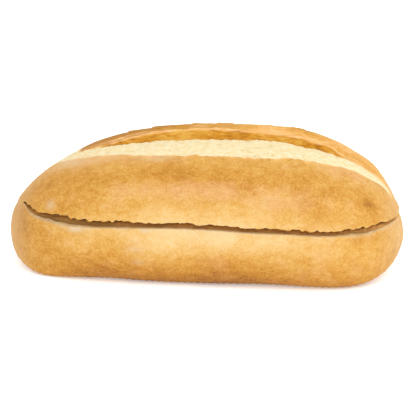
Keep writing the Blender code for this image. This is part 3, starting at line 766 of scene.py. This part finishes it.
def baked_bread():
    """Crust, torn dough, wall of the ear and crumb in one material, by the skin's own shares"""
    material = bpy.data.materials.new("baked_bread")
    material.use_nodes = True
    tree = material.node_tree
    shader = tree.nodes["Principled BSDF"]
    place = tree.nodes.new("ShaderNodeTexCoord").outputs["Object"]

    def share_of(name):
        node = tree.nodes.new("ShaderNodeAttribute")
        node.attribute_name = name
        return node.outputs["Fac"]

    def ramp(fac, stops):
        node = tree.nodes.new("ShaderNodeValToRGB")
        elements = node.color_ramp.elements
        while len(elements) < len(stops):
            elements.new(0.5)
        for element, (position, colour) in zip(elements, stops):
            element.position = position
            element.color = colour
        tree.links.new(fac, node.inputs["Fac"])
        return node.outputs["Color"]

    def spots(kind, clamp=False):
        noise_out = cloud(tree, place, kind.size, kind.detail, kind.rough, kind.drawn)
        return maths(tree, "ADD", maths(tree, "MULTIPLY", noise_out, kind.strong), kind.middle, clamp)

    def blend(fac, a, b):
        node = tree.nodes.new("ShaderNodeMix")
        node.data_type = "RGBA"
        plug(tree, fac, node.inputs["Factor"])
        plug(tree, a, node.inputs["A"])
        plug(tree, b, node.inputs["B"])
        return node.outputs["Result"]

    # Crust: bake with fine speckles, spots and blotches, rosy in places, drawn out on the crown
    baked = maths(tree, "ADD", share_of("bake"), spots(SPECKLES))
    baked = maths(tree, "ADD", baked, spots(CRUST_SPOTS))
    baked = maths(tree, "ADD", baked, spots(BLOTCHES))
    baked = maths(tree, "ADD", baked, spots(WIDE_BLOTCHES), clamp=True)
    rosy = maths(tree, "ADD", spots(ROSY_SPOTS), share_of("rosy"), clamp=True)
    crust = blend(maths(tree, "MULTIPLY", rosy, ROSY_SHARE), ramp(baked, CRUST), ramp(baked, ROSY))
    crown = ramp(maths(tree, "ADD", baked, spots(CROWN_GRAIN), clamp=True), CROWN)
    crust = blend(share_of("behind"), crust, crown)
    # Pale marks of flour, and the painted rim light of the tips
    crust = blend(maths(tree, "MULTIPLY", share_of("pale"), FLOUR_AND_RIM_LIGHT_SHARE, clamp=True), crust, FLOUR_AND_RIM_LIGHT)

    # Pale torn band: long fine streaks, with painted shadow in a few greyish tears
    torn_dough = blend(spots(TEAR_SHADOWS, clamp=True), ramp(spots(TORN_STREAKS), TORN), TEAR_SHADOW)

    # Wall of the ear with its strands, the light strands of its edge and of the lip, partly a painted
    # highlight, and the slit's surfaces with their painted shade
    wall = ramp(maths(tree, "SUBTRACT", spots(WALL_STRANDS), share_of("wall_dark_and_shadow")), WALL)
    pale_edge_and_highlight = maths(tree, "MULTIPLY", share_of("pale_strands_and_highlight"), spots(EDGE_STRANDS, clamp=True), clamp=True)
    depth = maths(tree, "ADD", share_of("depth"), spots(CRUMB_SPOTS), clamp=True)
    crumb_and_painted_shade = blend(share_of("painted_slit_shade"), ramp(depth, CRUMB_AND_PAINTED_SHADE), PAINTED_SLIT_SHADED)
    crest_shadow_share = maths(tree, "MULTIPLY", share_of("crest_painted_shadow"), CREST_SHARE)
    colour = crust
    for share, surface in ((share_of("amber"), wall), (pale_edge_and_highlight, PALE_EDGE_AND_HIGHLIGHT), (share_of("cream"), torn_dough),
                           (crest_shadow_share, CREST_PAINTED_SHADOW), (share_of("bevel"), ramp(spots(BEVEL_SPOTS), BEVEL)),
                           (share_of("crumb"), crumb_and_painted_shade)):
        colour = blend(share, colour, surface)
    tree.links.new(colour, shader.inputs["Base Color"])

    # Dull torn dough, and a crust with a faint gloss where it is darkest
    dull = maths(tree, "ADD", share_of("cream"), share_of("crumb"), clamp=True)
    gloss = maths(tree, "SUBTRACT", PALE_ROUGHNESS, maths(tree, "MULTIPLY", baked, BAKED_GLOSS))
    roughness = maths(tree, "ADD", gloss, maths(tree, "MULTIPLY", dull, DULL_ROUGHNESS), clamp=True)
    tree.links.new(roughness, shader.inputs["Roughness"])
    shader.inputs["Specular IOR Level"].default_value = SPECULAR
    shader.inputs["Sheen Weight"].default_value = SHEEN
    shader.inputs["Sheen Roughness"].default_value = SHEEN_ROUGHNESS
    shader.inputs["Sheen Tint"].default_value = SHEEN_TINT

    # Pores finer than the mesh
    bump = tree.nodes.new("ShaderNodeBump")
    bump.inputs["Strength"].default_value = PORE_STRENGTH
    bump.inputs["Distance"].default_value = PORE_DEPTH
    open_crumb = maths(tree, "MULTIPLY", spots(OPEN_CRUMB), dull)
    tree.links.new(maths(tree, "ADD", spots(PORES), open_crumb), bump.inputs["Height"])
    tree.links.new(bump.outputs["Normal"], shader.inputs["Normal"])
    return material


# Relief: swellings and blisters of the crust, the torn grain of the pale band, strands, crumb, and
# the print of the tray's wires at the bottom. A kind's grain says how much finer noise it carries,
# how rough that is, and how many times longer than wide it is
RELIEF = {"Swelling size": 9 * MM, "Swelling height": 0.45 * MM,
          "Blister size": 2.2 * MM, "Blister height": 0.30 * MM,
          "Tear size": 1.6 * MM, "Tear height": 0.8 * MM,
          "Wall strand size": 2.2 * MM, "Wall strand height": 0.45 * MM,
          "Crumb size": 1.8 * MM, "Crumb height": 0.5 * MM,
          "Wire spacing": 2.6 * MM, "Wire print": 0.24 * MM}
GRAIN = {"Swelling": (1.0, 0.5), "Blister": (3.0, 0.6), "Tear": (3.0, 0.6, 2.2),
         "Wall strand": (3.0, 0.6, 2.0), "Crumb": (2.0, 0.6)}
UNDERSIDE_STARTS = -0.25
UNDERSIDE_STEEPNESS = 2.0


def new_tree(name, sizes):
    """Geometry tree with a named input for each size, and the places to start from and end in"""
    tree = bpy.data.node_groups.new(name, "GeometryNodeTree")
    tree.interface.new_socket("Geometry", in_out="INPUT", socket_type="NodeSocketGeometry")
    tree.interface.new_socket("Geometry", in_out="OUTPUT", socket_type="NodeSocketGeometry")
    for label in sizes:
        tree.interface.new_socket(label, in_out="INPUT", socket_type="NodeSocketFloat")
    return tree, tree.nodes.new("NodeGroupInput"), tree.nodes.new("NodeGroupOutput")


def named(tree, name):
    node = tree.nodes.new("GeometryNodeInputNamedAttribute")
    node.data_type = "FLOAT"
    node.inputs["Name"].default_value = name
    return node.outputs["Attribute"]


def scaled(tree, vector, factor):
    node = tree.nodes.new("ShaderNodeVectorMath")
    node.operation = "SCALE"
    plug(tree, vector, node.inputs[0])
    plug(tree, factor, node.inputs["Scale"])
    return node.outputs["Vector"]


def parts_of(tree, vector):
    node = tree.nodes.new("ShaderNodeSeparateXYZ")
    tree.links.new(vector, node.inputs["Vector"])
    return node.outputs


def finish_tree(tree, shape, material, end):
    realize = tree.nodes.new("GeometryNodeRealizeInstances")
    tree.links.new(shape, realize.inputs["Geometry"])
    setting = tree.nodes.new("GeometryNodeSetMaterial")
    setting.inputs["Material"].default_value = material
    tree.links.new(realize.outputs["Geometry"], setting.inputs["Geometry"])
    tree.links.new(setting.outputs["Geometry"], end.inputs["Geometry"])


def grown(piece, tree, sizes):
    """Plain mesh that the tree makes of a piece with these sizes"""
    modifier = piece.modifiers.new(tree.name, "NODES")
    modifier.node_group = tree
    for item in tree.interface.items_tree:
        if item.item_type == "SOCKET" and item.name in sizes:
            modifier[item.identifier] = float(sizes[item.name])
    depsgraph = bpy.context.evaluated_depsgraph_get()
    made = bpy.data.meshes.new_from_object(piece.evaluated_get(depsgraph), preserve_all_data_layers=True,
                                           depsgraph=depsgraph)
    piece.modifiers.clear()
    return made


def relief_tree(material):
    tree, start, end = new_tree("bread_relief", RELIEF)
    size = start.outputs
    place = tree.nodes.new("GeometryNodeInputPosition").outputs["Position"]
    normal = tree.nodes.new("GeometryNodeInputNormal").outputs["Normal"]
    turned_down = maths(tree, "SUBTRACT", UNDERSIDE_STARTS, parts_of(tree, normal)["Z"])
    facing_down = maths(tree, "MULTIPLY", turned_down, UNDERSIDE_STEEPNESS, clamp=True)
    cream, amber, crumb, bevel = [named(tree, zone) for zone in ("cream", "amber", "crumb", "bevel")]
    cut = maths(tree, "ADD", maths(tree, "ADD", cream, amber), maths(tree, "ADD", crumb, bevel), clamp=True)
    on_crust = maths(tree, "SUBTRACT", 1.0, cut)

    def layer(zone, kind):
        bumps = cloud(tree, place, size[kind + " size"], *GRAIN[kind])
        return maths(tree, "MULTIPLY", maths(tree, "MULTIPLY", bumps, size[kind + " height"]), zone)

    def wires(position):
        """Wires that lie across one direction: 1 on a wire and -1 half way to the next"""
        turns = maths(tree, "DIVIDE", maths(tree, "MULTIPLY", position, 2 * math.pi), size["Wire spacing"])
        return maths(tree, "COSINE", turns)

    height = layer(on_crust, "Swelling")
    for zone, kind in ((on_crust, "Blister"), (cream, "Tear"), (amber, "Wall strand"), (crumb, "Crumb")):
        height = maths(tree, "ADD", height, layer(zone, kind))
    height = maths(tree, "MULTIPLY", height, maths(tree, "SUBTRACT", 1.0, facing_down))

    # The print goes from nothing between the wires to its whole depth on them
    position = parts_of(tree, place)
    tray = maths(tree, "MAXIMUM", wires(position["X"]), wires(position["Y"]))
    tray = maths(tree, "ADD", maths(tree, "MULTIPLY", tray, facing_down), facing_down)
    tray = maths(tree, "MULTIPLY", tray, maths(tree, "MULTIPLY", size["Wire print"], -0.5))
    moving = tree.nodes.new("GeometryNodeSetPosition")
    tree.links.new(size["Geometry"], moving.inputs["Geometry"])
    tree.links.new(scaled(tree, normal, maths(tree, "ADD", height, tray)), moving.inputs["Offset"])
    finish_tree(tree, moving.outputs["Geometry"], material, end)
    return tree


SHARP_ANGLE = math.radians(60)
bread = baked_bread()
roll.data = grown(roll, relief_tree(bread), RELIEF)
mesh = roll.data
corners = np.empty(len(mesh.vertices) * 3, np.float32)
mesh.vertices.foreach_get("co", corners)
corners = np.clip(corners.reshape(-1, 3), np.array(cad_low), np.array(cad_high))
mesh.vertices.foreach_set("co", corners.astype(np.float32).reshape(-1))
mesh.update()
mesh.shade_smooth()
mesh.set_sharp_from_angle(angle=SHARP_ANGLE)
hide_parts("roll")
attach(roll, "root")

# Torn flakes
# Small bits of crust and crumb that the blade and the knife left standing: along the crest and
# the lip of the score, and on the upper rim of the slit. They are baked onto the roll.
FLAKES = {"Flakes per square metre": 1400000.0, "Smallest flake": 0.25 * MM, "Largest flake": 0.62 * MM,
          "Nearest": 0.45 * MM}
SCATTER_SEED = 4
FLAKE_SHAPE = (1.0, 0.7, 0.4)
FLAKE_TILT = 0.5

# Dents of a flake: how far apart, how much finer noise they carry and how rough that is
FLAKE_DENTS = (0.9, 1.0, 0.5)


def flake_tree(material):
    tree, start, end = new_tree("torn_flakes", FLAKES)
    size = start.outputs
    scatter = tree.nodes.new("GeometryNodeDistributePointsOnFaces")
    scatter.distribute_method = "POISSON"
    scatter.inputs["Seed"].default_value = SCATTER_SEED
    tree.links.new(size["Geometry"], scatter.inputs["Mesh"])
    tree.links.new(size["Nearest"], scatter.inputs["Distance Min"])
    tree.links.new(size["Flakes per square metre"], scatter.inputs["Density Max"])
    tree.links.new(named(tree, "flaky"), scatter.inputs["Density Factor"])
    flake = tree.nodes.new("GeometryNodeMeshIcoSphere")
    flake.inputs["Radius"].default_value = 1.0
    flake.inputs["Subdivisions"].default_value = 1
    place = tree.nodes.new("GeometryNodeInputPosition").outputs["Position"]
    normal = tree.nodes.new("GeometryNodeInputNormal").outputs["Normal"]
    rough = tree.nodes.new("GeometryNodeSetPosition")
    tree.links.new(flake.outputs["Mesh"], rough.inputs["Geometry"])
    tree.links.new(scaled(tree, normal, cloud(tree, place, *FLAKE_DENTS)), rough.inputs["Offset"])
    spin = tree.nodes.new("FunctionNodeRandomValue")
    spin.data_type = "FLOAT_VECTOR"
    spin.inputs["Min"].default_value = (-FLAKE_TILT, -FLAKE_TILT, 0.0)
    spin.inputs["Max"].default_value = (FLAKE_TILT, FLAKE_TILT, 2 * math.pi)
    turned = tree.nodes.new("FunctionNodeRotateRotation")
    turned.rotation_space = "LOCAL"
    tree.links.new(scatter.outputs["Rotation"], turned.inputs["Rotation"])
    tree.links.new(spin.outputs["Value"], turned.inputs["Rotate By"])
    growth = tree.nodes.new("FunctionNodeRandomValue")
    growth.data_type = "FLOAT"
    tree.links.new(size["Smallest flake"], growth.inputs[2])
    tree.links.new(size["Largest flake"], growth.inputs[3])
    put = tree.nodes.new("GeometryNodeInstanceOnPoints")
    tree.links.new(scatter.outputs["Points"], put.inputs["Points"])
    tree.links.new(rough.outputs["Geometry"], put.inputs["Instance"])
    tree.links.new(turned.outputs["Rotation"], put.inputs["Rotation"])
    tree.links.new(scaled(tree, FLAKE_SHAPE, growth.outputs[1]), put.inputs["Scale"])
    finish_tree(tree, put.outputs["Instances"], material, end)
    return tree


flakes = bpy.data.objects.new("torn_flakes", roll.data)
bpy.context.scene.collection.objects.link(flakes)
flakes.data = grown(flakes, flake_tree(bread), FLAKES)
flakes.data.shade_smooth()
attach(flakes, "root")

# The floor
# A plain white studio floor under the roll, which isn't part of it. It glows a little, so that
# it stays white where the roll takes some of its light.
FLOOR = 4.0
FLOOR_WHITE = (0.95, 0.95, 0.95, 1)
FLOOR_ROUGHNESS = 0.9
FLOOR_GLOW = 0.3
floor_mesh = bpy.data.meshes.new("studio_floor")
floor_corners = [(-FLOOR, -FLOOR, 0), (FLOOR, -FLOOR, 0), (FLOOR, FLOOR, 0), (-FLOOR, FLOOR, 0)]
floor_mesh.from_pydata(floor_corners, [], [(0, 1, 2, 3)])
studio_floor = bpy.data.objects.new("studio_floor", floor_mesh)
bpy.context.scene.collection.objects.link(studio_floor)
white = bpy.data.materials.new("white_floor")
white.use_nodes = True
floor_shader = white.node_tree.nodes["Principled BSDF"]
floor_shader.inputs["Base Color"].default_value = FLOOR_WHITE
floor_shader.inputs["Roughness"].default_value = FLOOR_ROUGHNESS
floor_shader.inputs["Emission Color"].default_value = (1, 1, 1, 1)
floor_shader.inputs["Emission Strength"].default_value = FLOOR_GLOW
floor_mesh.materials.append(white)

# The light
# Soft white light from all round, as in a studio tent, with one broad lamp above the front and
# to the right.
WORLD_LIGHT = 1.2
LAMP_LIGHT = 1.5
LAMP_SPREAD = math.radians(60)
LAMP_FROM = (math.radians(45), 0, math.radians(40))
world = bpy.data.worlds.new("studio")
world.use_nodes = True
world.node_tree.nodes["Background"].inputs["Color"].default_value = (1, 1, 1, 1)
world.node_tree.nodes["Background"].inputs["Strength"].default_value = WORLD_LIGHT
bpy.context.scene.world = world
lamp = bpy.data.objects.new("broad_lamp", bpy.data.lights.new("broad_lamp", "SUN"))
lamp.data.energy = LAMP_LIGHT
lamp.data.angle = LAMP_SPREAD
lamp.rotation_euler = LAMP_FROM
bpy.context.scene.collection.objects.link(lamp)
bpy.context.scene.view_settings.view_transform = "Standard"

# The camera
# Far off with a long lens, a little to the right of square with the roll and looking down on
# it. It aims at a point near the middle of the roll, moved a little right and down.
AZIMUTH = math.radians(8.28)
ELEVATION = math.radians(14.38)
DISTANCE = 0.9
LENS = 192.86
AIM_LEVEL = 26 * MM
AIM_RIGHT = 0.75 * MM
AIM_DOWN = 2.48 * MM
level_reach = math.cos(ELEVATION)
away = Vector((math.sin(AZIMUTH) * level_reach, -math.cos(AZIMUTH) * level_reach, math.sin(ELEVATION)))
rightward = Vector((math.cos(AZIMUTH), math.sin(AZIMUTH), 0))
upward = away.cross(rightward)
target = Vector((0, 0, AIM_LEVEL)) + rightward * AIM_RIGHT - upward * AIM_DOWN
camera = bpy.data.objects.new("camera", bpy.data.cameras.new("camera"))
camera.data.lens = LENS
camera.location = target + away * DISTANCE
camera.rotation_euler = away.to_track_quat("Z", "Y").to_euler()
bpy.context.scene.collection.objects.link(camera)
bpy.context.scene.camera = camera
